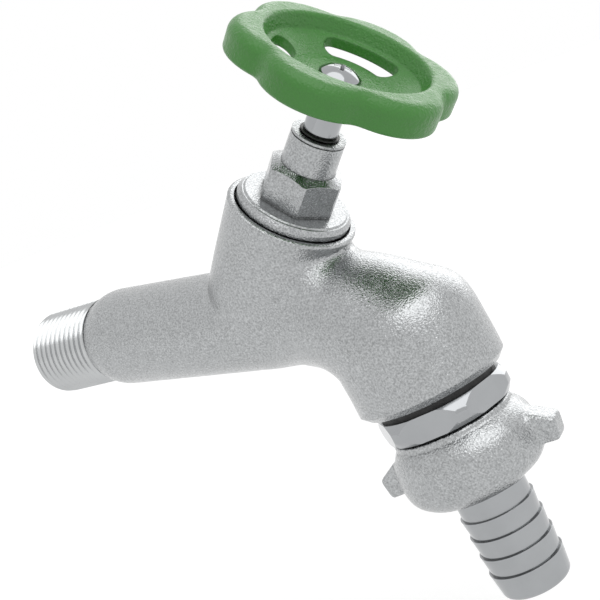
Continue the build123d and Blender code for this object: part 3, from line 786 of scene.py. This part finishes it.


# Materials: name, colour, metallic, range of roughness, and grain as scale, depth and strength; the corner
# setting gives the reach and depth of shade painted into inner corners
blasted = finish_material(
    "blasted_chrome", (0.39, 0.4, 0.405), 1, (0.08, 0.14), ((2900, 0.13, 1.0), (1200, 0.05, 1.0)),
    edge=0.25, painted_corner_shade=(0.8, 0.75), speck=2600, change=0.3,
)
turned = finish_material(
    "turned_chrome", (0.38, 0.39, 0.395), 1, (0.1, 0.18), ((2900, 0.09, 1.0), (1200, 0.04, 1.0)),
    edge=0.2, painted_corner_shade=(1.6, 0.85), speck=2600, change=0.3,
)
thread_chrome = finish_material(
    "thread_chrome", (0.5, 0.51, 0.515), 1, (0.14, 0.2), ((1500, 0.006, 1.0),),
    edge=0.08, painted_corner_shade=(0.7, 0.75),
)
polished = finish_material(
    "polished_chrome", (0.36, 0.37, 0.38), 1, (0.07, 0.13), ((500, 0.006, 1.0),),
    edge=0.12, painted_corner_shade=(0.9, 0.85),
)
green = finish_material(
    "green_plastic", (0.055, 0.235, 0.036), 0, (0.26, 0.38), ((2200, 0.1, 1.0), (1100, 0.12, 1.0)),
    edge=0.6, painted_corner_shade=(2.0, 0.4),
)
rubber = finish_material("rubber", (0.02, 0.02, 0.02), 0, (0.5, 0.7), ((900, 0.02, 1.0),))
fibre = finish_material("fibre", (0.35, 0.12, 0.08), 0, (0.7, 0.9), ((900, 0.05, 1.0),))
black = finish_material("black_steel", (0.03, 0.03, 0.03), 0, (0.25, 0.35), ((900, 0.01, 1.0),))
white_plastic = finish_material("white_plastic", (0.85, 0.85, 0.82), 0, (0.4, 0.5), ((900, 0.02, 1.0),))
brass = finish_material("brass", (0.72, 0.55, 0.25), 1, (0.2, 0.35), ((900, 0.01, 1.0),))

NODE_MATERIALS = {
    "body": blasted, "bonnet": turned, "wing_nut": blasted,
    "outlet_nipple": polished, "hose_tail": polished, "spindle": polished, "wheel_screw": polished,
    "handwheel": green, "spindle_clip": black, "bonnet_gasket": fibre, "thrust_washer": white_plastic,
    "valve_carrier": brass, "seat_screw": brass,
    "nipple_seal": rubber, "union_washer": rubber, "seat_washer": rubber,
    "carrier_o_ring": rubber, "spindle_o_rings": rubber,
}
for node_name, node_material in NODE_MATERIALS.items():
    data = nodes[node_name].data
    data.materials.clear()
    data.materials.append(node_material)


# Pieces, each on its body

body = body_piece(blasted)
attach(body, "root")
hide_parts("body")
inlet_thread = inlet_thread_piece(thread_chrome)
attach(inlet_thread, "root")
clip = clip_piece(black)
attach(clip, "spindle_body")
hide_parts("spindle_clip")
screw = screw_piece(polished)
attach(screw, "spindle_body")
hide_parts("wheel_screw")
nipple = nipple_piece(polished)
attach(nipple, "root")
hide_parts("outlet_nipple")
nut = nut_piece(blasted)
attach(nut, "nut_body")
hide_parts("wing_nut")


# Plain floor, white surroundings and soft lamps

FLOOR_X = 0.06
FLOOR_Z = -0.1
FLOOR_HALF = 6
FLOOR_SQUARES = 4
FLOOR_ROUGHNESS = 0.9
FLOOR_COLOUR = 0.8
FLOOR_GLOW = 0.36
WORLD_LEVEL = 0.55
WHITE = 1.0


def seen_directly(tree):
    """One for the camera's rays and for those that metal or glass sends on, which see white too."""
    path = add_node(tree, "ShaderNodeLightPath")
    either = add_node(tree, "ShaderNodeMath", {
        0: path.outputs["Is Camera Ray"], 1: path.outputs["Is Glossy Ray"],
    }, operation="MAXIMUM")
    seen = add_node(tree, "ShaderNodeMath", {
        0: either.outputs[0], 1: path.outputs["Is Transmission Ray"],
    }, operation="MAXIMUM")
    return seen.outputs[0]


def add_floor():
    """Plain pale floor that keeps the shadow and is lifted to white where it is seen."""
    mesh = bmesh.new()
    bmesh.ops.create_grid(mesh, x_segments=FLOOR_SQUARES, y_segments=FLOOR_SQUARES, size=FLOOR_HALF)
    data = bpy.data.meshes.new("floor")
    mesh.to_mesh(data)
    mesh.free()
    floor = bpy.data.objects.new("floor", data)
    floor.location = (FLOOR_X, 0, FLOOR_Z)
    scene.collection.objects.link(floor)
    material, tree, shader = new_material("floor")
    shader.inputs["Base Color"].default_value = (FLOOR_COLOUR, FLOOR_COLOUR, FLOOR_COLOUR, 1)
    shader.inputs["Roughness"].default_value = FLOOR_ROUGHNESS
    glow = add_node(tree, "ShaderNodeEmission", {"Color": (1, 1, 1, 1), "Strength": FLOOR_GLOW})
    lifted = add_node(tree, "ShaderNodeAddShader", {0: shader.outputs[0], 1: glow.outputs[0]})
    both = add_node(tree, "ShaderNodeMixShader", {
        0: seen_directly(tree), 1: shader.outputs[0], 2: lifted.outputs[0],
    })
    output = next(node for node in tree.nodes if node.type == "OUTPUT_MATERIAL")
    tree.links.new(both.outputs[0], output.inputs["Surface"])
    data.materials.append(material)


def add_world():
    """Even light all round, and white where it is seen."""
    world = bpy.data.worlds.new("world")
    scene.world = world
    world.use_nodes = True
    tree = world.node_tree
    background = tree.nodes["Background"]
    strength = add_node(tree, "ShaderNodeMix", {"Factor": seen_directly(tree), "A": WORLD_LEVEL, "B": WHITE})
    background.inputs["Color"].default_value = (1, 1, 1, 1)
    tree.links.new(strength.outputs[0], background.inputs["Strength"])


# Soft lamps: name, azimuth from -Y towards +X, elevation, width in degrees, energy
LAMPS = (
    ("key", 70, 52, 60, 0.9),
    ("back", 180, 24, 50, 0.75),
)


def add_lamps():
    """A sun for each lamp, as wide as a soft box looks from the tap."""
    for name, azimuth, elevation, width, energy in LAMPS:
        data = bpy.data.lights.new(name, "SUN")
        data.energy = energy
        data.angle = radians(width)
        lamp = bpy.data.objects.new(name, data)
        scene.collection.objects.link(lamp)
        turn = radians(azimuth)
        across = cos(radians(elevation))
        heading = Vector((sin(turn) * across, -cos(turn) * across, sin(radians(elevation))))
        lamp.rotation_euler = heading.to_track_quat("Z", "Y").to_euler()


add_camera()
add_floor()
add_world()
add_lamps()
scene.view_settings.view_transform = "Standard"
